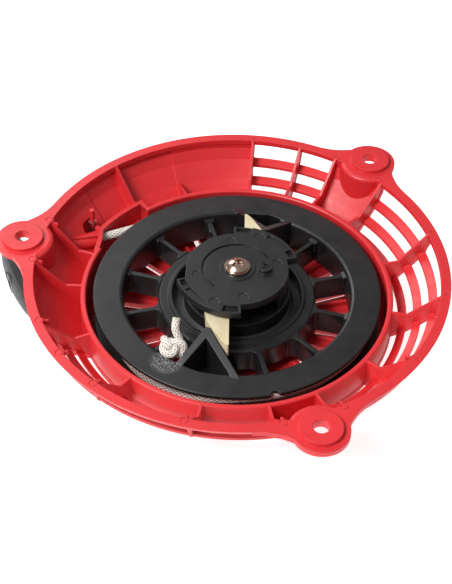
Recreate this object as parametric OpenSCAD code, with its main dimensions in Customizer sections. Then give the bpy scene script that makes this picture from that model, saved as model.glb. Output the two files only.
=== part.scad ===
// Recoil starter for a small engine, seen with the open side of its case up.
// Origin: centre of the three fixing holes, on the plane of their boss faces. +Z points at the engine.
// Lengths are millimetres, and z is negative inside the case.

/* [Case] */
// Outer radius of the rim
rim_r = 95.4; // [95:0.1:95.6]
// Height of the rim's upper face
rim_z = -1.7; // [-2.2:0.1:-1.4]
// Thickness of the rim
rim_t = 2.6; // [2.2:0.1:3]
// Outer radius of the drum that holds the reel
drum_r = 71; // [71:0.5:71.5]
// Thickness of the drum wall
drum_wall = 2.5; // [2:0.1:2.6]
// Height of the drum's upper edge
drum_top = -15.5; // [-16.5:0.1:-15]
// Height of the floor inside the drum
floor_z = -35; // [-36:0.5:-35]
// Thickness of the floor
floor_t = 3; // [2.5:0.1:4]
// Thickness of the radial ribs
rib_t = 1.3; // [1.1:0.1:1.8]
// Number of air slots in the floor
floor_slots = 24; // [12:4:24]
// Width of one air slot in the floor
floor_slot_w = 3; // [2:0.1:3.4]

/* [Fixing lugs] */
// Radius of the circle through the fixing holes
lug_circle_r = 99.3; // [99:0.1:100]
// Radius of a fixing hole
hole_r = 3.5; // [3:0.05:3.6]
// Radius of a fixing boss
boss_r = 9.2; // [8.5:0.1:9.8]
// Radius of the lug around its hole
lug_r = 10.8; // [10.5:0.1:11.5]
// Radius of the hollow fillets beside a lug
lug_fillet_r = 30; // [24:1:34]

/* [Reel] */
// Outer radius of the reel flanges
flange_r = 65.25; // [64.5:0.05:65.5]
// Height of the upper flange's face
flange_z = -15.1; // [-15.4:0.1:-14.8]
// Inner radius of the reel's rim
rim_in_r = 51.8; // [50:0.1:53]
// Radius of the rope groove's floor
groove_r = 57; // [56:0.1:57.5]
// Thickness of the reel spokes
spoke_t = 2; // [1.6:0.1:2.6]

/* [Ratchet] */
// Radius of the guide disc
guide_r = 23; // [22.5:0.1:23.5]
// Radius of the guide's two wide sectors
guide_wide_r = 28; // [27:0.1:28.5]
// Turn of the guide that draws the pawls in
guide_swing = 30; // [25:1:32]
// Turn of a pawl from out to in
pawl_swing = 60; // [55:1:62]

/* [Rope and grip] */
// Diameter of the rope
rope_d = 4; // [3.5:0.1:4]
// Heading of the rope where it leaves the case
pull_heading = 203; // [203:0.5:203.5]
// Half the length of the grip
grip_half = 34; // [30:0.5:34]

/* [Hidden] */
$fn = 96;
eps = 0.01;
// Depth by which a fillet's circle cuts into the circle it meets
fillet_bite = 0.05;
lug_angles = [170, 50, -70];
rope_r = rope_d / 2;
rope_z = -20.4;

// Draft of the rim's outer face
rim_draft = 1;
rim_in_edge = 91;

// Inner face of the bowl wall, from the rim down to the drum
bowl_in = [[91.2, rim_z - rim_t + eps], [91.2, -6.5], [88.5, -11.6], [82, -18.8], [drum_r, -28.5]];
wall_step = [1.2, -0.9];
bowl_out = [for (p = bowl_in) p + wall_step];
bowl_mouth_r = bowl_in[0][0];
drum_bottom = floor_z - floor_t;
drum_corner = 8;

// Ribs between the drum and the rim
lug_rib_offset = 8.7;
rib_angles = concat([130, 85.3, 70.5, 15.5, -10.3, -36.8, -102, -130, -156],
    [for (a = lug_angles) each [a - lug_rib_offset, a + lug_rib_offset]]);
rib_foot_r = 77.6;

// Open grille bays, each between two ribs, and the bars that cross them
grille_bays = [[70.5, 85.3], [58.7, 70.5], [15.5, 41.3], [-10.3, 15.5], [-36.8, -10.3],
    [-61.3, -36.8], [-102, -78.7], [-130, -102], [-156, -130]];
bay_margin = 0.6;
bar_centres = [[88.5, -12.3], [82.2, -18.9], [75.9, -24.9]];
bar_half = 1.8;
bar_rise = 0.85;
bar_depth = 1.6;
bar_end_gap = 0.15;
panel_bays = [[110.6, 129.4], [130.6, 142]];

// Hollow under each lug that clears a bolt head
scallop_r = 12.5;
scallop_skin = 1.5;
scallop_round = 1.8;

// Ejector marks on the rim, and the ones that stand on a small web inside the rim
mark_r = 1.9;
mark_at = 92;
web_angles = [-158, -144.6, -130.2, -103.2, -78, -61.2, -35.4, 160.8, 177.6];
plain_angles = [-8.6, 17.2, 42.8, 58.5, 84];
web_t = 1.2;

// Rope outlet: the drum wall steps out, and a post with a steel sleeve stands in a deep pocket
step_start = 127;
step_end = 148.5;
step_in_r = 74.6;
step_out_r = 77;
step_w = 2.2;
step_corner = [-64.3, 39.5];
step_nub = [-66.3, 41.3];
step_neck = [[-64.4, 33], [-65.6, 25.4]];
spur = [[-64.4, 36.6], [-78.2, 33.2]];
spur_w = 1.5;
post_r = 1.2;
post_pos = [-68.6, 43.6];
post_top = -7;
sleeve_r = 1.75;
sleeve_top = -14;
pocket_r = 4.8;
pocket_floor = -25.5;
tunnel_r = 2.9;
tunnel_start = 26;
tunnel_end = 66;
tunnel_wall = 0.9;

// Centre post and the stack on it
centre_r = 7.5;
centre_top = -14.2;
spigot_r = 4.5;
spigot_top = -1.35;
screw_r = 2.5;
screw_end = -25;
washer_t = 1;
washer_r = 5.7;
head_r = 5;
head_h = 2.8;
running = 0.05;

// Reel heights
flange_t = 1.5;
groove_w = 10.8;
low_flange_t = 2.2;
reel_low = flange_z - flange_t - groove_w - low_flange_t;
hub_in_r = 28;
hub_wall_r = 30;
hub_r = 36;
hub_top = -18;
hub_floor = -22;
hub_floor_t = 2;
tower_r = 24;
tower_top = -14.3;
skirt_low = -34.2;
spoke_top = -18;
spoke_angles = [for (k = [0 : 11]) if (k != 2 && k != 8) 15 + 30 * k];
spoke_fillet = 3;
stop_top = -8;
stop_foot_z = flange_z - 0.2;
stop_w = 3.4;
stop_apex = [-13, -33.4];
stop_feet = [[-25, -47], [0.3, -55.5]];
knot_pos = [-28.2, -35.9, -14];
knot_angle = atan2(knot_pos[1], knot_pos[0]);
knot_r = 4.3;

// Pawls, drawn swung out
pawl_low = -14;
pawl_high = -7;
pawl_pivot = [-9.5, -17.5];
pawl_eye_r = 5;
pin_r = 2.5;
peg_r = 1.2;
peg_arm = 5.5;
peg_heading = -118.5;
peg_top = -4.2;
guide_low = -5.5;
guide_face = -1.9;
guide_pad = -1.5;
slot_top = -3.9;
hook_pos = [12.4, -0.6];
hook_r = 3.1;
hook_top = 0.1;
hook_gap_heading = 130;

// Pull line: s runs across it and q along it, and turn() gives the place in the plan
across = [cos(pull_heading - 90), sin(pull_heading - 90)];
along = [cos(pull_heading), sin(pull_heading)];
winding_r = 64.4;
rope_line = 61.2;
run_start = 25.8;
run_end = 57;
function plan(s, q) = s * across + q * along;

// Rope from the case to the grip, as [s, q, z] round numbers
stub_route = [[61.2, 57.2, -20.4], [61, 59.6, -20.6], [60.3, 62, -21.3], [59, 64.4, -22.2],
    [57.3, 66.8, -23.3], [55.6, 69.2, -24.4], [54.1, 71.6, -25.3], [53.3, 74, -25.85], [53, 76.2, -26],
    [53, 80, -26], [53, 85, -26]];

// Grip: an arched bar whose oval section shrinks towards the ends
grip_s = 53;
grip_face_q = 92.6;
grip_z = -26;
grip_arch = 0.0050;
grip_sides = 24;
grip_stations = 22;
knot_pocket_r = 5.5;
knot_pocket_q = 85.5;

// A ring, or a part of one between two angles
module sector(r1, r2, z1, z2, a1, a2) {
    rotate([0, 0, a1])
        rotate_extrude(angle = a2 - a1)
            translate([r1, z1])
                square([r2 - r1, z2 - z1]);
}

// A profile of [radius, height] points swept between two angles
module sweep_profile(points, a1, a2) {
    rotate([0, 0, a1])
        rotate_extrude(angle = a2 - a1)
            polygon(points);
}

// An upright radial plate cut to a profile of [radius, height] points
module radial_plate(points, a, t) {
    rotate([0, 0, a])
        translate([0, t / 2, 0])
            rotate([90, 0, 0])
                linear_extrude(t)
                    polygon(points);
}

// An upright wall through points of the plan, with rounded ends and corners
module wall(points, w, z1, z2) {
    translate([0, 0, z1])
        linear_extrude(z2 - z1)
            for (i = [1 : len(points) - 1])
                hull() {
                    translate(points[i - 1])
                        circle(w / 2, $fn = 24);
                    translate(points[i])
                        circle(w / 2, $fn = 24);
                }
}

// A straight rod along the pull line
module pull_rod(r, s, q1, q2, z) {
    translate([plan(s, q1)[0], plan(s, q1)[1], z])
        rotate([0, 0, pull_heading])
            rotate([0, 90, 0])
                cylinder(r = r, h = q2 - q1, $fn = 32);
}

// Surface of a tube swept along a path, each ring turned to face the path
function unit(v) = v / norm(v);
function heading_at(path, i) =
    unit(path[min(i + 1, len(path) - 1)] - path[max(i - 1, 0)]);
module tube(path, r, sides) {
    points = [for (i = [0 : len(path) - 1])
        let (t = heading_at(path, i), a = unit(cross(t, [0, 0, 1])), b = cross(a, t))
        for (k = [0 : sides - 1])
            path[i] + r * (cos(360 * k / sides) * a + sin(360 * k / sides) * b)];
    last = len(path) - 1;
    faces = concat(
        [[for (k = [0 : sides - 1]) k]],
        [for (i = [0 : last - 1]) for (k = [0 : sides - 1])
            [i * sides + (k + 1) % sides, i * sides + k,
             (i + 1) * sides + k, (i + 1) * sides + (k + 1) % sides]],
        [[for (k = [sides - 1 : -1 : 0]) last * sides + k]]);
    polyhedron(points, faces);
}

// Outline of one lug, with hollow fillets that run into the rim
module lug_outline(a) {
    far = rim_r + lug_fillet_r - fillet_bite;
    near = lug_r + lug_fillet_r - fillet_bite;
    half = acos((far * far + lug_circle_r * lug_circle_r - near * near) / (2 * far * lug_circle_r));
    rotate(a) {
        translate([lug_circle_r, 0])
            circle(lug_r);
        for (side = [-1, 1])
            difference() {
                polygon([[80, 0], (rim_r - 1) * [cos(half), side * sin(half)],
                    far * [cos(half), side * sin(half)], [lug_circle_r, 0]]);
                translate(far * [cos(half), side * sin(half)])
                    circle(lug_fillet_r, $fn = 180);
            }
    }
}

module rim_flange() {
    low = rim_z - rim_t;
    rotate_extrude($fn = 240)
        polygon([[rim_in_edge, low], [rim_r - rim_draft, low], [rim_r, rim_z - 0.5], [rim_r, rim_z],
            [rim_in_edge, rim_z]]);
    translate([0, 0, low])
        linear_extrude(rim_t)
            for (a = lug_angles) {
                difference() {
                    lug_outline(a);
                    circle(rim_in_edge + 0.5, $fn = 240);
                }
                rotate(a)
                    translate([lug_circle_r, 0])
                        circle(scallop_r - 0.3);
            }
}

module bosses() {
    for (a = lug_angles)
        rotate([0, 0, a])
            translate([lug_circle_r, 0, rim_z - 0.5])
                cylinder(r = boss_r, h = 0.5 - rim_z);
}

module bowl_shell() {
    outline = concat(
        [[0, drum_bottom], [drum_r - drum_corner, drum_bottom]],
        [for (a = [-75 : 15 : 0])
            [drum_r - drum_corner + drum_corner * cos(a), drum_bottom + drum_corner + drum_corner * sin(a)]],
        [for (i = [len(bowl_out) - 1 : -1 : 0]) [max(bowl_out[i][0], drum_r), bowl_out[i][1]]],
        [[bowl_mouth_r + wall_step[0], rim_z - 0.06], [0, rim_z - 0.06]]);
    rotate_extrude($fn = 240)
        polygon(outline);
}

// Room inside the bowl: the drum, the ring-shaped channel round it and the mouth above both
module bowl_room() {
    drum_in = drum_r - drum_wall;
    rotate_extrude($fn = 240)
        polygon([[0, floor_z], [drum_in - 1.5, floor_z], [drum_in, floor_z + 1.5],
            [drum_in, drum_top - 0.5], [drum_in + 0.5, drum_top], [drum_r - 0.5, drum_top],
            [drum_r, drum_top - 0.5], bowl_in[4], bowl_in[3], bowl_in[2], bowl_in[1],
            [bowl_mouth_r, 1], [0, 1]]);
}

// Skin of the bolt-head hollow under each lug, kept inside the bowl's outer face
module scallop_skins() {
    intersection() {
        bowl_shell();
        for (a = lug_angles)
            rotate([0, 0, a])
                translate([lug_circle_r, 0, 0])
                    rotate_extrude()
                        polygon(concat([[0, -24], [scallop_r + scallop_skin, -24]],
                            [for (t = [0 : 18 : 90]) [scallop_r + scallop_skin - scallop_round * (1 - cos(t)),
                                rim_z - 0.12 - scallop_round * (1 - sin(t))]],
                            [[0, rim_z - 0.12]]));
    }
}

module scallop_room() {
    for (a = lug_angles)
        rotate([0, 0, a])
            translate([lug_circle_r, 0, -45])
                cylinder(r = scallop_r, h = 45 + rim_z - rim_t);
}

module bowl_ribs() {
    top = drum_top - 0.06;
    profile = [[drum_r - 1, top], [rib_foot_r, top], [bowl_mouth_r - 0.5, rim_z - 0.3],
        [92.2, rim_z - 0.3], [92.2, -6.5], [90.6, -13.3], [84.3, -20.1], [77.9, -26.2],
        [drum_r + 0.6, -30.7], [drum_r - 1, -30.7]];
    for (a = rib_angles)
        radial_plate(profile, a, rib_t);
    radial_plate([[drum_r - 1, top], [drum_r + 1, top], [80.5, -17], [84, -19.4], [drum_r - 1, -29.5]],
        110.6, rib_t);
}

// Windows of the grille bays, cut through the wall before the bars are added
module grille_cuts() {
    top = rim_z - rim_t + 0.1;
    window = [[86, -6.2], [90.5, top], [95, top], [95, -14], [74, -33], [drum_r + 0.2, -29.2],
        [drum_r + 0.2, -27], [80, -17]];
    for (bay = grille_bays)
        sweep_profile(window, bay[0] + bay_margin, bay[1] - bay_margin);
}

module grille_bars() {
    bar = [[-bar_half, -bar_rise], [bar_half, bar_rise], [bar_half, bar_rise - bar_depth],
        [-bar_half, -bar_rise - bar_depth]];
    for (bay = grille_bays)
        for (c = bar_centres)
            sweep_profile([for (p = bar) p + c], bay[0] + bar_end_gap, bay[1] - bar_end_gap);
}

// Shallow recessed panels in the closed part of the wall
module panel_cuts() {
    step = [0.45, -0.3];
    panel = concat([[90, -5], [92, -5]], [for (i = [1 : 3]) bowl_in[i] + step],
        [[74, -26.5], [78, -18]]);
    for (bay = panel_bays)
        sweep_profile(panel, bay[0] + 0.4, bay[1]);
}

module floor_cuts() {
    for (k = [0 : floor_slots - 1])
        rotate([0, 0, 5 + 360 * k / floor_slots])
            translate([37, -floor_slot_w / 2, drum_bottom - 1])
                cube([23, floor_slot_w, floor_t + 4]);
}

// Low ridges on the floor between the air slots
module floor_ridges() {
    for (k = [0 : floor_slots - 1])
        radial_plate([[36, floor_z - 0.5], [36, floor_z + 1], [38, floor_z + 2.6], [60, floor_z + 2.6],
            [63, floor_z - 0.5]], 12.5 + 360 * k / floor_slots, 1.6);
}

// Drum wall stepped out round the rope outlet, trimmed to the bowl's outer face
module rope_step() {
    top = drum_top - 0.12;
    intersection() {
        bowl_shell();
        union() {
            sector(step_in_r, step_out_r, -30, top, step_start, step_end);
            sector(drum_r - drum_wall, step_out_r - 0.5, -30, top, step_start + 0.2, step_start + 1.8);
            wall([step_nub, step_corner, step_neck[0], step_neck[1]], step_w, -30, top - 0.06);
            wall(spur, spur_w, -26, top - 0.12);
            pull_rod(tunnel_r + tunnel_wall, rope_line, 44.5, 60, rope_z);
        }
    }
}

module rope_step_room() {
    sector(drum_r - drum_wall - 1, step_in_r - 0.1, -25, 1, step_start + 1.2, 157.5);
}

module outlet_boss() {
    intersection() {
        translate([post_pos[0], post_pos[1], pocket_floor - 2])
            cylinder(r = pocket_r + 2, h = 14, $fn = 48);
        difference() {
            cylinder(r = rim_r, h = 80, center = true);
            bowl_room();
        }
    }
    difference() {
        pull_rod(tunnel_r + 2, rope_line, 50, 58, rope_z);
        bowl_room();
    }
}

module post_pocket() {
    translate([post_pos[0], post_pos[1], pocket_floor])
        cylinder(r = pocket_r, h = 10, $fn = 48);
}

module centre_post() {
    translate([0, 0, floor_z - 1])
        cylinder(r = 13, h = 2);
    translate([0, 0, floor_z - 1])
        cylinder(r = centre_r, h = centre_top - floor_z + 1);
    translate([0, 0, centre_top - 1])
        cylinder(r = spigot_r, h = spigot_top - centre_top + 1);
}

// Round ends of the ejector webs, flush with the rim and just inside it
module rim_webs() {
    for (a = web_angles) {
        rotate([0, 0, a])
            translate([mark_at, 0, rim_z - rim_t + 0.04])
                cylinder(r = mark_r, h = rim_t - 0.08, $fn = 24);
        radial_plate([[91.6, rim_z - 0.4], [88, rim_z - 1.2], [87.7, rim_z - 1.6], [87.7, -4.6], [91.6, -8.5]],
            a, web_t);
    }
}

// Shallow rings left by the mould's ejector pins
module ejector_marks() {
    for (a = concat(web_angles, plain_angles))
        rotate([0, 0, a])
            translate([mark_at, 0, rim_z - 0.2])
                difference() {
                    cylinder(r = mark_r - 0.15, h = 1, $fn = 24);
                    translate([0, 0, -1])
                        cylinder(r = mark_r - 0.45, h = 3, $fn = 24);
                }
}

module starter_case() {
    color("crimson")
        difference() {
            union() {
                difference() {
                    union() {
                        difference() {
                            bowl_shell();
                            bowl_room();
                            panel_cuts();
                        }
                        rim_flange();
                        scallop_skins();
                        bowl_ribs();
                        outlet_boss();
                        rim_webs();
                    }
                    grille_cuts();
                    scallop_room();
                    rope_step_room();
                    post_pocket();
                }
                bosses();
                grille_bars();
                rope_step();
                floor_ridges();
                centre_post();
            }
            floor_cuts();
            pull_rod(tunnel_r, rope_line, tunnel_start, tunnel_end, rope_z);
            ejector_marks();
            for (a = lug_angles)
                rotate([0, 0, a])
                    translate([lug_circle_r, 0, rim_z - rim_t - 1])
                        cylinder(r = hole_r, h = 6);
            translate([0, 0, screw_end - 1])
                cylinder(r = screw_r + running, h = 30);
        }
    color("crimson")
        translate([post_pos[0], post_pos[1], pocket_floor - 1])
            cylinder(r = post_r, h = post_top - pocket_floor + 1, $fn = 32);
}

module rope_guide_sleeve() {
    color("lightgrey")
        translate([post_pos[0], post_pos[1], pocket_floor + 0.3])
            difference() {
                cylinder(r = sleeve_r, h = sleeve_top - pocket_floor - 0.3, $fn = 48);
                translate([0, 0, -1])
                    cylinder(r = post_r + running, h = 30, $fn = 48);
            }
}

// Rim with the rope groove
module reel_rim() {
    groove_top = flange_z - flange_t;
    rotate_extrude($fn = 240)
        polygon([[rim_in_r, reel_low], [flange_r, reel_low], [flange_r, reel_low + low_flange_t],
            [groove_r, reel_low + low_flange_t], [groove_r, groove_top], [flange_r, groove_top],
            [flange_r, flange_z - 0.3], [flange_r - 0.3, flange_z], [rim_in_r + 1.4, flange_z],
            [rim_in_r + 0.4, flange_z - 0.5], [rim_in_r, flange_z - 1.4]]);
}

module reel_hub() {
    rotate_extrude()
        polygon([[hub_in_r, skirt_low], [hub_wall_r, skirt_low], [hub_wall_r, reel_low],
            [hub_r, reel_low], [hub_r, hub_top - 1], [hub_r - 1, hub_top], [31.5, hub_top],
            [31, hub_top + 1], [29.5, hub_top + 1], [29, hub_top], [29, hub_floor],
            [tower_r + 2, hub_floor], [tower_r, hub_floor + 1], [tower_r, tower_top],
            [centre_r + running, tower_top], [centre_r + running, hub_floor - hub_floor_t],
            [hub_in_r, hub_floor - hub_floor_t]]);
    for (a = [-36, 144])
        sector(21.5, 23.4, tower_top - 0.5, -6.2, a, a + 80);
}

module reel_spokes() {
    root = hub_r - 0.5;
    translate([0, 0, reel_low])
        linear_extrude(spoke_top - reel_low)
            for (a = spoke_angles)
                rotate(a)
                    difference() {
                        polygon([[root, -spoke_t / 2 - spoke_fillet], [hub_r + spoke_fillet, -spoke_t / 2],
                            [rim_in_r + 1, -spoke_t / 2], [rim_in_r + 1, spoke_t / 2],
                            [hub_r + spoke_fillet, spoke_t / 2], [root, spoke_t / 2 + spoke_fillet]]);
                        for (side = [-1, 1])
                            translate([hub_r + spoke_fillet + 0.1, side * (spoke_t / 2 + spoke_fillet)])
                                circle(spoke_fillet, $fn = 24);
                    }
    for (a = spoke_angles)
        radial_plate([[rim_in_r - 1.6, -24], [rim_in_r - 1.6, spoke_top], [rim_in_r + 1, spoke_top + 1],
            [rim_in_r + 1, -24]], a, 4.4);
}

// Forked stop that backs an opened pawl: two walls that slope down from their corner to the rim
module pawl_stop() {
    base = stop_feet[1] - stop_feet[0];
    base_angle = atan2(base[1], base[0]);
    reach = cross(base, stop_apex - stop_feet[0]) / norm(base);
    difference() {
        translate([0, 0, reel_low])
            linear_extrude(stop_top + 1 - reel_low)
                for (foot = stop_feet)
                    hull() {
                        translate(stop_apex)
                            circle(stop_w / 2, $fn = 32);
                        translate(foot)
                            circle(stop_w / 2 - 0.3, $fn = 32);
                    }
        translate([stop_feet[0][0], stop_feet[0][1], stop_foot_z])
            rotate([0, 0, base_angle])
                rotate([atan2(stop_top - stop_foot_z, reach), 0, 0])
                    translate([-20, -20, 0])
                        cube([70, 70, 20]);
    }
    sector(hub_r - 2, rim_in_r + 1, reel_low, reel_low + 2, -117, -89);
}

module reel() {
    color("dimgrey") {
        difference() {
            union() {
                reel_rim();
                reel_hub();
                reel_spokes();
                for (turn = [0, 180])
                    rotate([0, 0, turn])
                        pawl_stop();
            }
            for (turn = [0, 180])
                rotate([0, 0, turn])
                    translate([0, 0, reel_low + 2])
                        linear_extrude(20)
                            polygon([[-13.2, -38], [-20.6, -46.6], [-20.4, -48.8], [-16, -51], [-4.5, -52.4],
                                [-3.8, -51.2]]);
            rotate([0, 0, -75.2])
                translate([flange_r, 0, flange_z - 4])
                    cylinder(r = 2, h = 5, $fn = 32);
            rotate([0, 0, knot_angle])
                translate([rim_in_r - 3, 0, rope_z])
                    rotate([0, 90, 0])
                        cylinder(r = rope_r + 0.4, h = 9, $fn = 32);
        }
        for (turn = [0, 180])
            rotate([0, 0, turn])
                translate([pawl_pivot[0], pawl_pivot[1], tower_top - 1])
                    cylinder(r = pin_r, h = 1 - 6.2 - tower_top, $fn = 48);
    }
}

// Flat spiral strip in the hollow under the hub
module return_spring() {
    turns = 6.5;
    step = 15;
    inner_r = 9.6;
    outer_r = 27.2;
    strip = 0.6;
    count = turns * 360 / step;
    function ray(i, offset) =
        (inner_r + (outer_r - inner_r) * i / count + offset) * [cos(i * step), sin(i * step)];
    color("silver")
        translate([0, 0, -33])
            linear_extrude(7.5)
                polygon(concat([for (i = [0 : count]) ray(i, 0)], [for (i = [count : -1 : 0]) ray(i, strip)]));
}

module rope_winding() {
    gap = 0.1;
    color("tan")
        difference() {
            rotate_extrude($fn = 180)
                translate([groove_r + gap, reel_low + low_flange_t + gap])
                    square([winding_r - groove_r - gap, groove_w - 2 * gap]);
            rotate([0, 0, knot_angle])
                translate([groove_r - 1, 0, rope_z])
                    rotate([0, 90, 0])
                        cylinder(r = rope_r + 0.2, h = 2.5, $fn = 32);
        }
}

module rope_knot() {
    color("ivory")
        rotate([0, 0, knot_angle])
            translate([norm([knot_pos[0], knot_pos[1]]), 0, knot_pos[2]]) {
                sphere(knot_r, $fn = 32);
                translate([0, -3.4, 0.3])
                    sphere(3.4, $fn = 32);
                translate([0, 0, rope_z - knot_pos[2]]) {
                    rotate([0, 90, 0])
                        cylinder(r = rope_r, h = 12, $fn = 24);
                    sphere(rope_r, $fn = 24);
                    cylinder(r = rope_r, h = 5, $fn = 24);
                }
                rotate([0, -78, 34])
                    cylinder(r = rope_r - 0.2, h = 12, $fn = 24);
            }
}

module rope_run() {
    color("ivory")
        pull_rod(rope_r, rope_line, run_start, run_end, rope_z);
}

module rope_stub() {
    color("ivory")
        tube([for (p = stub_route) [plan(p[0], p[1])[0], plan(p[0], p[1])[1], p[2]]], rope_r, 10);
}

// Arched bar of the grip, one oval ring at each station
module grip_bar() {
    function taper(x) = sqrt(max(0, 1 - pow(abs(x), 5)));
    function half_q(x) = (3.6 + 4.4 * (1 - x * x)) * taper(x);
    function half_z(x) = (6.5 + 3.5 * (1 - x * x)) * taper(x);
    function face_q(x) = grip_face_q - grip_arch * pow(x * grip_half, 2);
    function edge_q(x) = face_q(x) - 3.6 - 4.4 * (1 - x * x);
    reach = 0.985;
    spots = [for (i = [0 : grip_stations]) reach * sin(-90 + 180 * i / grip_stations)];
    points = [for (x = spots)
        for (k = [0 : grip_sides - 1])
            let (a = 360 * k / grip_sides, p = plan(grip_s + x * grip_half, edge_q(x) + half_q(x) * cos(a)))
            [p[0], p[1], grip_z + half_z(x) * sin(a)]];
    last = grip_stations;
    faces = concat(
        [[for (k = [0 : grip_sides - 1]) k]],
        [for (i = [0 : last - 1]) for (k = [0 : grip_sides - 1])
            [i * grip_sides + (k + 1) % grip_sides, i * grip_sides + k,
             (i + 1) * grip_sides + k, (i + 1) * grip_sides + (k + 1) % grip_sides]],
        [[for (k = [grip_sides - 1 : -1 : 0]) last * grip_sides + k]]);
    polyhedron(points, faces);
}

module grip() {
    color("darkslategrey")
        difference() {
            grip_bar();
            pull_rod(rope_r + 0.3, grip_s, 70, 100, grip_z);
            pull_rod(knot_pocket_r, grip_s, knot_pocket_q, 100, grip_z);
        }
}

module grip_knot() {
    color("ivory")
        translate([plan(grip_s, 87.3)[0], plan(grip_s, 87.3)[1], grip_z])
            rotate([0, 0, pull_heading])
                rotate([0, 90, 0])
                    translate([0, 0, -1.7])
                        cylinder(r = 4.6, h = 3.4, $fn = 32);
}

module grip_cap() {
    color("black")
        difference() {
            union() {
                pull_rod(knot_pocket_r - 0.1, grip_s, 89.2, 91.6, grip_z);
                pull_rod(knot_pocket_r - 0.7, grip_s, 91.5, 92.2, grip_z);
            }
            pull_rod(2, grip_s, 91.7, 95, grip_z);
        }
}

// One pawl, swung out against its stop
module pawl() {
    body = [[-14.3, -18.5], [-13.9, -24.5], [-13, -28.4], [-10.6, -33], [-8.1, -37.4], [-6.4, -40.2],
        [-4.7, -42.1], [-3.9, -42.5], [-3.5, -42.1], [-3.5, -34.7], [-3.4, -26.5], [-4.6, -23.5],
        [-5, -15.5]];
    peg = pawl_pivot + peg_arm * [cos(peg_heading), sin(peg_heading)];
    color("wheat") {
        translate([0, 0, pawl_low])
            linear_extrude(pawl_high - pawl_low)
                difference() {
                    union() {
                        translate(pawl_pivot)
                            circle(pawl_eye_r, $fn = 48);
                        polygon(body);
                    }
                    translate(pawl_pivot)
                        circle(pin_r + running, $fn = 48);
                }
        translate([peg[0], peg[1], pawl_high - 1])
            cylinder(r = peg_r, h = peg_top - pawl_high + 1, $fn = 32);
    }
}

module pawl_1() {
    pawl();
}

module pawl_2() {
    rotate([0, 0, 180])
        pawl();
}

// Track of a pawl's peg in the guide, from pawl out to pawl in
function peg_in_guide(f) =
    let (a = peg_heading + pawl_swing * f, p = pawl_pivot + peg_arm * [cos(a), sin(a)], t = -guide_swing * f)
    [p[0] * cos(t) - p[1] * sin(t), p[0] * sin(t) + p[1] * cos(t)];
function track_side(f, w) =
    let (t = unit(peg_in_guide(f + 0.01) - peg_in_guide(f - 0.01)))
    peg_in_guide(f) + w * [-t[1], t[0]];
module cam_slot() {
    half = peg_r + 0.3;
    steps = 12;
    translate([0, 0, guide_low - 1])
        linear_extrude(slot_top - guide_low + 1) {
            polygon(concat([for (i = [0 : steps]) track_side(i / steps, half)],
                [for (i = [steps : -1 : 0]) track_side(i / steps, -half)]));
            for (f = [0, 1])
                translate(peg_in_guide(f))
                    circle(half, $fn = 32);
        }
}

module ratchet_guide() {
    half_marks = [[23.5, 64.6], [18.3, 12.6], [18.1, 98.6]];
    wide_wedge = concat([[0, 0]], [for (a = [15.5 : 19.5 : 93.5]) 40 * [cos(a), sin(a)]]);
    color([0.16, 0.16, 0.17])
        difference() {
            union() {
                translate([0, 0, guide_low])
                    linear_extrude(guide_face - guide_low) {
                        circle(guide_r, $fn = 120);
                        for (turn = [0, 180])
                            rotate(turn)
                                intersection() {
                                    circle(guide_wide_r, $fn = 120);
                                    polygon(wide_wedge);
                                }
                    }
                translate([0, 0, guide_face - 1])
                    cylinder(r = 8, h = guide_pad - guide_face + 1);
                translate([hook_pos[0], hook_pos[1], guide_face - 1])
                    cylinder(r = hook_r, h = hook_top - guide_face + 1, $fn = 40);
            }
            translate([0, 0, guide_low - 1])
                cylinder(r = spigot_r + running, h = 8);
            for (turn = [0, 180])
                rotate([0, 0, turn]) {
                    cam_slot();
                    sector(24, 27.2, guide_face - 1.6, 0, 76, 91);
                    sector(27, guide_wide_r + 1, guide_face - 0.5, 0, 75, 92);
                    sector(24.4, 27, guide_face - 0.7, 0, 31, 57);
                    sector(24.4, 27, guide_face - 1.6, 0, 17.5, 28);
                    for (m = half_marks)
                        rotate([0, 0, m[1]])
                            translate([m[0], 0, guide_face - 0.2])
                                cylinder(r = 2.3, h = 1, $fn = 32);
                }
            sector(14.8, 16.1, guide_face - 0.8, 0, 25, 230);
            translate([hook_pos[0], hook_pos[1], guide_face + 0.3]) {
                cylinder(r = hook_r - 1.1, h = 4, $fn = 40);
                rotate([0, 0, hook_gap_heading])
                    translate([0, -1.2, 0])
                        cube([hook_r + 1, 2.4, 4]);
            }
        }
}

// Coil spring that presses the guide against the washer
module friction_spring() {
    turns = 3;
    per_turn = 14;
    low = -13.2;
    high = -6.2;
    coil_r = 5.6;
    count = turns * per_turn;
    color("silver")
        tube([for (i = [0 : count])
            [coil_r * cos(360 * i / per_turn), coil_r * sin(360 * i / per_turn),
             low + (high - low) * i / count]], 0.5, 8);
}

module set_screw() {
    seat = spigot_top + washer_t;
    dome = 7;
    color("gold") {
        difference() {
            union() {
                intersection() {
                    translate([0, 0, seat])
                        cylinder(r = head_r, h = head_h + 1);
                    translate([0, 0, seat + head_h - dome])
                        sphere(dome, $fn = 64);
                }
                translate([0, 0, screw_end])
                    cylinder(r = screw_r, h = seat - screw_end + 0.5, $fn = 48);
            }
            for (turn = [45, 135])
                rotate([0, 0, turn])
                    translate([-3.2, -0.7, seat + 1.3])
                        cube([6.4, 1.4, 4]);
            translate([0, 0, seat + 0.5])
                cylinder(r1 = 0.9, r2 = 1.7, h = 4, $fn = 24);
        }
    }
}

module screw_washer() {
    color("khaki")
        translate([0, 0, spigot_top])
            difference() {
                cylinder(r = washer_r, h = washer_t);
                translate([0, 0, -1])
                    cylinder(r = screw_r + 0.1, h = 3, $fn = 48);
            }
}

starter_case();
rope_guide_sleeve();
reel();
return_spring();
rope_winding();
rope_knot();
rope_run();
rope_stub();
grip();
grip_knot();
grip_cap();
pawl_1();
pawl_2();
ratchet_guide();
friction_spring();
set_screw();
screw_washer();
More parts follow.
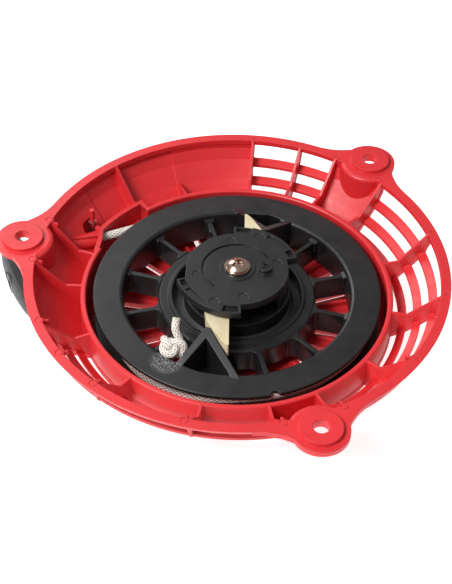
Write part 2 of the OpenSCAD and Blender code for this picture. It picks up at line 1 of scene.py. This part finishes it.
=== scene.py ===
"""Looks of the recoil starter: camera, light, materials, and the rope pieces for plain CAD solids."""

import math

import bpy
from mathutils import Matrix, Vector


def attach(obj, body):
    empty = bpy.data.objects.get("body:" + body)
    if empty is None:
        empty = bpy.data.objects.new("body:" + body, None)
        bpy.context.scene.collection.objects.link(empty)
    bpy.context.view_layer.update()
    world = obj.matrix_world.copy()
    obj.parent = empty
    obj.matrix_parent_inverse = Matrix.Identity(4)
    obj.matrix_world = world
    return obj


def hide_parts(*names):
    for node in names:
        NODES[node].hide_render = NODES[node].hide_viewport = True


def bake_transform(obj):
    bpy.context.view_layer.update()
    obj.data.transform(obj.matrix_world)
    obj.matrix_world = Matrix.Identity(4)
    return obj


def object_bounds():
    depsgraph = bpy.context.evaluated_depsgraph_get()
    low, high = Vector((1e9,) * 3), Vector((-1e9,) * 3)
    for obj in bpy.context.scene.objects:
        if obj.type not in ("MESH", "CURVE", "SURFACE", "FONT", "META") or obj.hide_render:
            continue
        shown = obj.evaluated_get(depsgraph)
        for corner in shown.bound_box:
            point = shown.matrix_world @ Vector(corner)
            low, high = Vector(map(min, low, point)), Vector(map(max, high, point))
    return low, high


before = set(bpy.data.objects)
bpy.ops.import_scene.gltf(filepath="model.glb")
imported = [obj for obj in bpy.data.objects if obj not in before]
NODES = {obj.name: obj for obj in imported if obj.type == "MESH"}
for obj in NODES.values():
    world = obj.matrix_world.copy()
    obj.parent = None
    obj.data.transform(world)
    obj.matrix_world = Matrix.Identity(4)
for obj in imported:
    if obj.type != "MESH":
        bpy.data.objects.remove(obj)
cad_low, cad_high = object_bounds()
MM = 0.001

# ---------------------------------------------------------------- camera, light and floor

CAMERA_TARGET = Vector((-5.0, -17.2, 0.0)) * MM
CAMERA_DISTANCE = 643 * MM
CAMERA_AZIMUTH = math.radians(-0.31)
CAMERA_ELEVATION = math.radians(44.6)
CAMERA_ROLL = math.radians(1.1)
CAMERA_LENS = 90.4
FLOOR_HALF = 3.0


def make_camera():
    """A long lens that looks down into the open side of the case."""
    side, tip = CAMERA_AZIMUTH, CAMERA_ELEVATION
    back = Vector((math.sin(side) * math.cos(tip), -math.cos(side) * math.cos(tip), math.sin(tip)))
    right = Vector((math.cos(side), math.sin(side), 0.0))
    up = back.cross(right)
    turned_right = right * math.cos(CAMERA_ROLL) + up * math.sin(CAMERA_ROLL)
    turned_up = back.cross(turned_right)
    data = bpy.data.cameras.new("camera")
    data.lens = CAMERA_LENS
    data.clip_start, data.clip_end = 0.01, 20
    camera = bpy.data.objects.new("camera", data)
    bpy.context.scene.collection.objects.link(camera)
    turn = Matrix((turned_right, turned_up, back)).transposed().to_4x4()
    camera.matrix_world = Matrix.Translation(CAMERA_TARGET + back * CAMERA_DISTANCE) @ turn
    bpy.context.scene.camera = camera


def make_area_light(name, place, size, power):
    """A square soft light at a place, aimed at the object's middle."""
    data = bpy.data.lights.new(name, "AREA")
    data.size, data.energy = size, power
    light = bpy.data.objects.new(name, data)
    bpy.context.scene.collection.objects.link(light)
    aim = Vector(place) - (cad_low + cad_high) / 2
    light.matrix_world = Matrix.Translation(place) @ aim.to_track_quat("Z", "Y").to_matrix().to_4x4()


def make_studio():
    """Plain pale floor under the drum, a white surround and soft lamps."""
    half = FLOOR_HALF
    height = cad_low.z
    data = bpy.data.meshes.new("floor")
    corners = [(x * half, y * half, height) for x, y in ((-1, -1), (1, -1), (1, 1), (-1, 1))]
    data.from_pydata(corners, [], [(0, 1, 2, 3)])
    floor = bpy.data.objects.new("floor", data)
    bpy.context.scene.collection.objects.link(floor)
    paint = bpy.data.materials.new("floor_paint")
    paint.use_nodes = True
    shader = paint.node_tree.nodes["Principled BSDF"]
    shader.inputs["Base Color"].default_value = (0.68, 0.68, 0.68, 1)
    shader.inputs["Roughness"].default_value = 0.9
    shader.inputs["Specular IOR Level"].default_value = 0.1
    shader.inputs["Emission Color"].default_value = (1, 1, 1, 1)
    shader.inputs["Emission Strength"].default_value = 0.80
    data.materials.append(paint)

    world = bpy.data.worlds.new("surround")
    world.use_nodes = True
    world.node_tree.nodes["Background"].inputs["Color"].default_value = (1, 1, 1, 1)
    world.node_tree.nodes["Background"].inputs["Strength"].default_value = 0.30
    bpy.context.scene.world = world
    bpy.context.scene.view_settings.view_transform = "Standard"
    make_area_light("key", (-0.52, -0.36, 0.76), 0.4, 10.5)
    make_area_light("sheen", (-0.45, 0.75, 0.55), 0.5, 3.6)


# ---------------------------------------------------------------- node helpers


class Graph:
    """A material's node tree, with short calls that add a node and wire its inputs."""

    def __init__(self, name):
        self.material = bpy.data.materials.new(name)
        self.material.use_nodes = True
        self.tree = self.material.node_tree
        self.shader = self.tree.nodes["Principled BSDF"]

    def add(self, kind, settings=None, **inputs):
        """A node with its settings; each input is a number, a colour or another node's socket."""
        node = self.tree.nodes.new(kind)
        for key, value in (settings or {}).items():
            setattr(node, key, value)
        for key, value in inputs.items():
            self.wire(node, key.replace("_", " "), value)
        return node

    def wire(self, node, key, value):
        by_number = key[0] == "n" and key[1:].isdigit()
        socket = node.inputs[int(key[1:])] if by_number else node.inputs[key]
        if isinstance(value, bpy.types.NodeSocket):
            self.tree.links.new(value, socket)
        else:
            socket.default_value = value

    def noise(self, vector, scale, detail=3.0, rough=0.5):
        inputs = {"Vector": vector, "Scale": scale, "Detail": detail, "Roughness": rough}
        return self.add("ShaderNodeTexNoise", **inputs).outputs[0]

    def spread(self, value, low, high, to_low=0.0, to_high=1.0):
        """Maps a value between two limits to a new pair of limits, clamped."""
        node = self.add("ShaderNodeMapRange", Value=value)
        for key, number in zip(("From Min", "From Max", "To Min", "To Max"), (low, high, to_low, to_high)):
            node.inputs[key].default_value = number
        return node.outputs[0]

    def math(self, kind, first, second=0.0):
        return self.add("ShaderNodeMath", {"operation": kind}, n0=first, n1=second).outputs[0]

    def mix(self, factor, first, second, kind="MIX"):
        node = self.add("ShaderNodeMix", {"data_type": "RGBA", "blend_type": kind})
        for index, value in ((0, factor), (6, first), (7, second)):
            self.wire(node, f"n{index}", value)
        return node.outputs[2]

    def finish(self, colour, roughness, height=None, depth=0.0001, edge=0.0):
        """Wires colour and roughness, a bump of the given depth, and soft edges of the given radius."""
        self.wire(self.shader, "Base Color", colour)
        self.wire(self.shader, "Roughness", roughness)
        normal = None
        if edge:
            normal = self.add("ShaderNodeBevel", {"samples": 6}, Radius=edge).outputs[0]
        if height is not None:
            bump = self.add("ShaderNodeBump", Strength=1.0, Distance=depth, Height=height)
            if normal is not None:
                self.wire(bump, "Normal", normal)
            normal = bump.outputs[0]
        if normal is not None:
            self.wire(self.shader, "Normal", normal)
        return self.material


def shade(colour, factor):
    return tuple(min(1.0, c * factor) for c in colour[:3]) + (1.0,)


# ---------------------------------------------------------------- materials


def moulded_plastic(name, colour, roughness, cloud, grain=0.00002, edge=0.0004):
    """Moulded plastic: slow changes of tone, uneven gloss and a fine skin grain."""
    g = Graph(name)
    place = g.add("ShaderNodeTexCoord").outputs["Object"]
    clouds = g.noise(place, 28.0, 4.0)
    tone = g.spread(clouds, 0.3, 0.7)
    base = g.mix(tone, shade(colour, 1 - cloud), shade(colour, 1 + cloud))
    gloss = g.spread(g.noise(place, 180.0, 5.0), 0.3, 0.7, roughness - 0.05, roughness + 0.07)
    skin = g.noise(place, 2600.0, 2.0)
    return g.finish(base, gloss, skin, grain, edge)


def red_case():
    """Bright red polypropylene, slightly translucent, with a soft sheen on its edges."""
    material = moulded_plastic("red_plastic", (0.68, 0.026, 0.032), 0.42, 0.07, 0.00001, 0.0005)
    shader = material.node_tree.nodes["Principled BSDF"]
    shader.inputs["Subsurface Weight"].default_value = 0.06
    shader.inputs["Subsurface Radius"].default_value = (1.0, 0.12, 0.08)
    shader.inputs["Subsurface Scale"].default_value = 0.0025
    return material


SCUFF_PLACE = Vector((-30.2, -45.2, -15.1)) * MM
SCUFF_RADIUS = 8 * MM
METAL_EDGE = 0.0002


def black_reel():
    """Black plastic with a dull dusty film and one rubbed patch beside the rope's knot."""
    g = Graph("reel_plastic")
    place = g.add("ShaderNodeTexCoord").outputs["Object"]
    film = g.spread(g.noise(place, 55.0, 6.0, 0.65), 0.35, 0.75)
    base = g.mix(film, (0.006, 0.006, 0.007, 1), (0.016, 0.016, 0.017, 1))
    g.shader.inputs["Specular IOR Level"].default_value = 0.55
    offset = g.add("ShaderNodeVectorMath", {"operation": "DISTANCE"}, n0=place, n1=tuple(SCUFF_PLACE))
    near = g.spread(offset.outputs["Value"], SCUFF_RADIUS, SCUFF_RADIUS * 0.55)
    scratches = g.spread(g.noise(place, 1700.0, 3.0, 0.7), 0.48, 0.58)
    rubbed = g.math("MULTIPLY", near, scratches)
    base = g.mix(rubbed, base, (0.26, 0.26, 0.26, 1))
    specks = g.spread(g.noise(place, 1300.0, 1.0), 0.74, 0.80)
    base = g.mix(g.math("MULTIPLY", specks, 0.25), base, (0.20, 0.20, 0.19, 1))
    gloss = g.spread(g.noise(place, 140.0, 5.0), 0.3, 0.7, 0.34, 0.48)
    height = g.math("ADD", g.noise(place, 2400.0, 2.0), g.math("MULTIPLY", rubbed, 2.0))
    return g.finish(base, gloss, height, 0.00003, 0.0006)


def black_guide():
    """Black glass-filled plastic, a little shinier than the reel."""
    material = moulded_plastic("guide_plastic", (0.011, 0.011, 0.012), 0.38, 0.35, 0.00002, 0.0004)
    material.node_tree.nodes["Principled BSDF"].inputs["Specular IOR Level"].default_value = 0.6
    return material


def ivory_nylon():
    """Pale yellowish nylon with faint grey smudges."""
    g = Graph("pawl_nylon")
    place = g.add("ShaderNodeTexCoord").outputs["Object"]
    tone = g.spread(g.noise(place, 120.0, 4.0), 0.3, 0.7)
    base = g.mix(tone, (0.62, 0.52, 0.32, 1), (0.75, 0.66, 0.45, 1))
    smudge = g.spread(g.noise(place, 260.0, 6.0, 0.7), 0.58, 0.75, 0.0, 0.5)
    base = g.mix(smudge, base, (0.42, 0.36, 0.24, 1))
    g.shader.inputs["Subsurface Weight"].default_value = 0.2
    g.shader.inputs["Subsurface Radius"].default_value = (1.0, 0.8, 0.5)
    g.shader.inputs["Subsurface Scale"].default_value = 0.001
    return g.finish(base, 0.42, g.noise(place, 1800.0, 2.0), 0.00002, 0.0004)


def metal(name, colour, roughness, streak_scale):
    """Metal with turning marks round the Z axis and an uneven polish."""
    g = Graph(name)
    place = g.add("ShaderNodeTexCoord").outputs["Object"]
    drawn_out = g.add("ShaderNodeMapping", Vector=place, Scale=(300.0, 300.0, streak_scale)).outputs[0]
    streaks = g.noise(drawn_out, 1.0, 4.0)
    base = g.mix(g.spread(streaks, 0.3, 0.7), shade(colour, 0.8), shade(colour, 1.1))
    polish = g.spread(g.noise(place, 700.0, 4.0), 0.3, 0.7, roughness - 0.06, roughness + 0.10)
    g.shader.inputs["Metallic"].default_value = 1.0
    return g.finish(base, polish, streaks, 0.00002, METAL_EDGE)


def rope_material(name, straight, face, groove_shade, fleck):
    """Braided off-white rope with brown flecks; the braid's grooves get a painted shade colour. A straight piece
    takes its length from place, a wound piece from its own map."""
    g = Graph(name)
    coords = g.add("ShaderNodeTexCoord")
    split = g.add("ShaderNodeSeparateXYZ", Vector=coords.outputs["UV"])
    length, turn = split.outputs[0], split.outputs[1]
    if straight:
        place = coords.outputs["Object"]
        dot = g.add("ShaderNodeVectorMath", {"operation": "DOT_PRODUCT"}, n0=place, n1=tuple(ALONG))
        length = dot.outputs["Value"]
    along = g.math("MULTIPLY", length, 2 * math.pi / BRAID_PITCH)
    around = g.math("MULTIPLY", turn, 2 * math.pi * BRAID_STRANDS)
    left = g.math("COSINE", g.math("ADD", around, along))
    right = g.math("COSINE", g.math("SUBTRACT", around, along))
    weave = g.math("MAXIMUM", left, right)
    twist = g.math("ADD", g.math("MULTIPLY", turn, 2 * math.pi), g.math("MULTIPLY", along, 0.25))
    carrier = g.math("COSINE", twist)
    flecks = g.spread(g.math("MULTIPLY", carrier, left), 0.45, 0.75)
    # Painted shade: the grooves between strands take the darker groove colour.
    grooves = g.spread(weave, 0.1, 0.75)
    base = g.mix(grooves, groove_shade, face)
    base = g.mix(g.math("MULTIPLY", flecks, 0.55), base, fleck)
    g.shader.inputs["Sheen Weight"].default_value = 0.3
    return g.finish(base, 0.85, weave, 0.00015)


def black_grip():
    """Charcoal satin plastic of the grip with faint rub marks."""
    g = Graph("grip_plastic")
    place = g.add("ShaderNodeTexCoord").outputs["Object"]
    tone = g.spread(g.noise(place, 70.0, 5.0, 0.6), 0.35, 0.7)
    base = g.mix(tone, (0.009, 0.009, 0.010, 1), (0.020, 0.021, 0.022, 1))
    rubs = g.spread(g.noise(place, 600.0, 6.0, 0.75), 0.66, 0.76, 0.0, 0.35)
    base = g.mix(rubs, base, (0.08, 0.08, 0.08, 1))
    gloss = g.spread(g.noise(place, 160.0, 4.0), 0.3, 0.7, 0.36, 0.5)
    return g.finish(base, gloss, g.noise(place, 2800.0, 2.0), 0.00003)


# ---------------------------------------------------------------- rope geometry, in millimetres

PULL_HEADING = math.radians(203)
ALONG = Vector((math.cos(PULL_HEADING), math.sin(PULL_HEADING), 0))
ACROSS = Vector((math.sin(PULL_HEADING), -math.cos(PULL_HEADING), 0))
ROPE_RADIUS = 2.0
ROPE_LINE = 61.2
ROPE_Z = -20.4
RUN_END = 57.0
BRAID_PITCH = 2.6 * MM
BRAID_STRANDS = 8
STUB_ROUTE = [(61.2, 57.2, -20.4), (61, 59.6, -20.6), (60.3, 62, -21.3), (59, 64.4, -22.2), (57.3, 66.8, -23.3),
              (55.6, 69.2, -24.4), (54.1, 71.6, -25.3), (53.3, 74, -25.85), (53, 76.2, -26), (53, 80, -26),
              (53, 85, -26)]
KNOT_ANGLE = math.atan2(-35.9, -28.2)
WOUND_RADIUS = 1.8
WOUND_TURNS = 3 + (math.degrees(PULL_HEADING - KNOT_ANGLE) - 90) / 360
WOUND_STEPS = 1000
SLOT_HEIGHTS = (-18.5, -22.1, -25.5)
LAYER_RADII = (58.9, 62.7)
LEAVING_TURNS = 0.42
CORD_SIDES = 48
WOUND_SIDES = 12
CORD_RELIEF = 0.08
RUN_STEPS = 220
RING_STEP = 0.26
KNOT_STEPS = 24
KNOT_PULL_IN = 0.88


def plan(s, q, z):
    """A point from its distance across the pull line, its distance along it and its height."""
    return s * ACROSS + q * ALONG + Vector((0, 0, z))


def smooth_path(points, step):
    """A Catmull-Rom curve through the points, sampled about every step."""
    ends = [points[0] * 2 - points[1]] + list(points) + [points[-1] * 2 - points[-2]]
    path = []
    for a, b, c, d in zip(ends, ends[1:], ends[2:], ends[3:]):
        count = max(1, round((c - b).length / step))
        for i in range(count):
            t = i / count
            path.append(0.5 * (2 * b + (c - a) * t + (2 * a - 5 * b + 4 * c - d) * t * t
                               + (3 * b - a - 3 * c + d) * t * t * t))
    path.append(points[-1])
    return path


def step_at(value, start, end):
    """A smooth step from 0 at start to 1 at end."""
    t = min(1.0, max(0.0, (value - start) / (end - start)))
    return t * t * (3 - 2 * t)


def add_mesh(name, points, faces, material, loops):
    """A smooth mesh from points in millimetres; loops holds each face corner's map place."""
    data = bpy.data.meshes.new(name)
    data.from_pydata([tuple(p * MM) for p in points], [], faces)
    layer = data.uv_layers.new(name="map")
    for place, uv in zip(layer.data, loops):
        place.uv = uv
    data.polygons.foreach_set("use_smooth", [True] * len(data.polygons))
    data.materials.append(material)
    data.validate()
    piece = bpy.data.objects.new(name, data)
    bpy.context.scene.collection.objects.link(piece)
    return piece


def rope_mesh(name, path, radius, sides, material, relief=0.0):
    """A tube of braided rope along a path. Its map is the length in metres and the turn round the rope."""
    points, faces, loops = [], [], []
    side = None
    length = 0.0
    lengths = []
    for i, p in enumerate(path):
        ahead = (path[min(i + 1, len(path) - 1)] - path[max(i - 1, 0)]).normalized()
        if side is None:
            side = ahead.cross(Vector((0, 0, 1))).normalized()
        side = (side - ahead * side.dot(ahead)).normalized()
        other = ahead.cross(side)
        length += (p - path[i - 1]).length * MM if i else 0.0
        lengths.append(length)
        end = 0.8 if i in (0, len(path) - 1) else 1.0
        for k in range(sides):
            turn = 2 * math.pi * k / sides
            phase = 2 * math.pi * length / BRAID_PITCH
            weave = max(math.cos(BRAID_STRANDS * turn + phase), math.cos(BRAID_STRANDS * turn - phase))
            r = radius * end * (1 + relief * (weave - 1) / 2)
            points.append(p + side * (r * math.cos(turn)) + other * (r * math.sin(turn)))
    for i in range(len(path) - 1):
        for k in range(sides):
            n = (k + 1) % sides
            faces.append((i * sides + k, i * sides + n, (i + 1) * sides + n, (i + 1) * sides + k))
            loops += [(lengths[i], k / sides), (lengths[i], (k + 1) / sides),
                      (lengths[i + 1], (k + 1) / sides), (lengths[i + 1], k / sides)]
    for ring, order in ((0, range(sides - 1, -1, -1)), (len(path) - 1, range(sides))):
        faces.append(tuple(ring * sides + k for k in order))
        loops += [(lengths[ring], k / sides) for k in order]
    return add_mesh(name, points, faces, material, loops)


def make_rope(wound, drawn):
    """The one rope, in the pieces that move with different bodies."""
    first = math.degrees(KNOT_ANGLE)
    top, second, low = SLOT_HEIGHTS
    inner, outer = LAYER_RADII
    turns_path = []
    for i in range(WOUND_STEPS + 1):
        turn = WOUND_TURNS * i / WOUND_STEPS
        angle = math.radians(first + 360 * turn)
        leaving = step_at(turn, WOUND_TURNS - LEAVING_TURNS, WOUND_TURNS)
        radius = inner + (outer - inner) * step_at(turn, 2.93, 3.06) + (ROPE_LINE - outer) * leaving
        z = ROPE_Z + (top - ROPE_Z) * (step_at(turn, 0.02, 0.14) - leaving)
        z += (second - top) * step_at(turn, 0.85, 1.0) + (low - second) * step_at(turn, 1.85, 2.0)
        z += (top - low) * step_at(turn, 2.97, 3.13)
        turns_path.append(Vector((radius * math.cos(angle), radius * math.sin(angle), z)))
    turns = rope_mesh("rope_turns", turns_path, WOUND_RADIUS, WOUND_SIDES, wound)
    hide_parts("rope_winding")
    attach(turns, "reel")

    run_path = [plan(ROPE_LINE, RUN_END * i / RUN_STEPS, ROPE_Z) for i in range(RUN_STEPS + 1)]
    run = rope_mesh("rope_to_outlet", run_path, ROPE_RADIUS, CORD_SIDES, drawn, CORD_RELIEF)
    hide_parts("rope_run")
    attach(run, "case")

    stub_path = smooth_path([plan(*p) for p in STUB_ROUTE], RING_STEP)
    stub = rope_mesh("rope_to_grip", stub_path, ROPE_RADIUS, CORD_SIDES, drawn, CORD_RELIEF)
    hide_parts("rope_stub")
    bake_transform(stub)


def make_knot(material):
    """Overhand knot that ends the rope on the reel: out of the hole in the rim, two lobes and a short tail."""
    middle = Vector((-27.5, -37.4, -13.3))
    up, left, near = Vector((0, 0.702, 0.712)), Vector((-1, 0, 0)), Vector((0, -0.712, 0.702))
    mean, swing = 3.0, 1.85
    local = [(-8.6, 5.9, -1.4), (-6.4, 3.4, -3.6), (-4.2, 0.9, -5.9), (-0.6, 2.6, -5.5), (1.8, 3.8, -3.8),
             (2.6, 4.0, -1.0)]
    first, last = 0.72, 2 * math.pi - 0.45
    for i in range(KNOT_STEPS + 1):
        t = first + (last - first) * i / KNOT_STEPS
        reach = mean + swing * math.cos(3 * t)
        local.append((reach * math.cos(2 * t), reach * math.sin(2 * t), swing * math.sin(3 * t)))
    local += [(5.2, -1.4, -0.6), (7.6, -0.7, 0.0), (10.0, -0.9, 0.2), (12.2, -1.2, 0.3)]
    path = smooth_path([middle + up * a + left * b + near * c for a, b, c in local], RING_STEP)
    knot = rope_mesh("rope_end_knot", path, ROPE_RADIUS * KNOT_PULL_IN, CORD_SIDES, material, CORD_RELIEF)
    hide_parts("rope_knot")
    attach(knot, "reel")


# ---------------------------------------------------------------- assembly


def paint(node, material):
    """Gives a CAD node one material."""
    data = NODES[node].data
    data.materials.clear()
    data.materials.append(material)


def smooth_by_angle(node, degrees=32):
    """Smooth shading across shallow edges, and sharp shading across the rest."""
    data = NODES[node].data
    data.polygons.foreach_set("use_smooth", [True] * len(data.polygons))
    data.set_sharp_from_angle(angle=math.radians(degrees))


make_camera()
make_studio()
# Rope colours: strand face, painted shade in the braid's grooves, fleck.
PALE_ROPE = ((0.93, 0.90, 0.84, 1), (0.56, 0.50, 0.42, 1), (0.42, 0.33, 0.25, 1))
# The same pale rope painted darker and pinker for the wound turns: painted shade and painted red reflection from
# the case.
ROPE_PAINTED_SHADE_AND_RED_BOUNCE = ((0.66, 0.52, 0.48, 1), (0.22, 0.13, 0.11, 1), (0.30, 0.14, 0.11, 1))
wound_rope = rope_material("rope_wound", False, *ROPE_PAINTED_SHADE_AND_RED_BOUNCE)
knot_rope = rope_material("rope_knotted", False, *PALE_ROPE)
drawn_rope = rope_material("rope_drawn", True, *PALE_ROPE)
grip_paint = black_grip()
steel = metal("sleeve_steel", (0.42, 0.42, 0.43), 0.24, 20.0)
spring = metal("spring_steel", (0.42, 0.42, 0.44), 0.35, 20.0)
zinc = metal("screw_zinc", (0.58, 0.42, 0.34), 0.20, 60.0)
guide_paint = black_guide()
pawl_paint = ivory_nylon()
cap_paint = moulded_plastic("cap_plastic", (0.02, 0.02, 0.022), 0.45, 0.3)
PAINTS = {
    "starter_case": red_case(), "reel": black_reel(), "ratchet_guide": guide_paint,
    "pawl_1": pawl_paint, "pawl_2": pawl_paint, "rope_guide_sleeve": steel,
    "return_spring": spring, "friction_spring": spring, "set_screw": zinc, "screw_washer": zinc,
    "grip": grip_paint, "grip_cap": cap_paint, "grip_knot": knot_rope,
}
for name, material in PAINTS.items():
    paint(name, material)
    smooth_by_angle(name)
make_rope(wound_rope, drawn_rope)
make_knot(knot_rope)
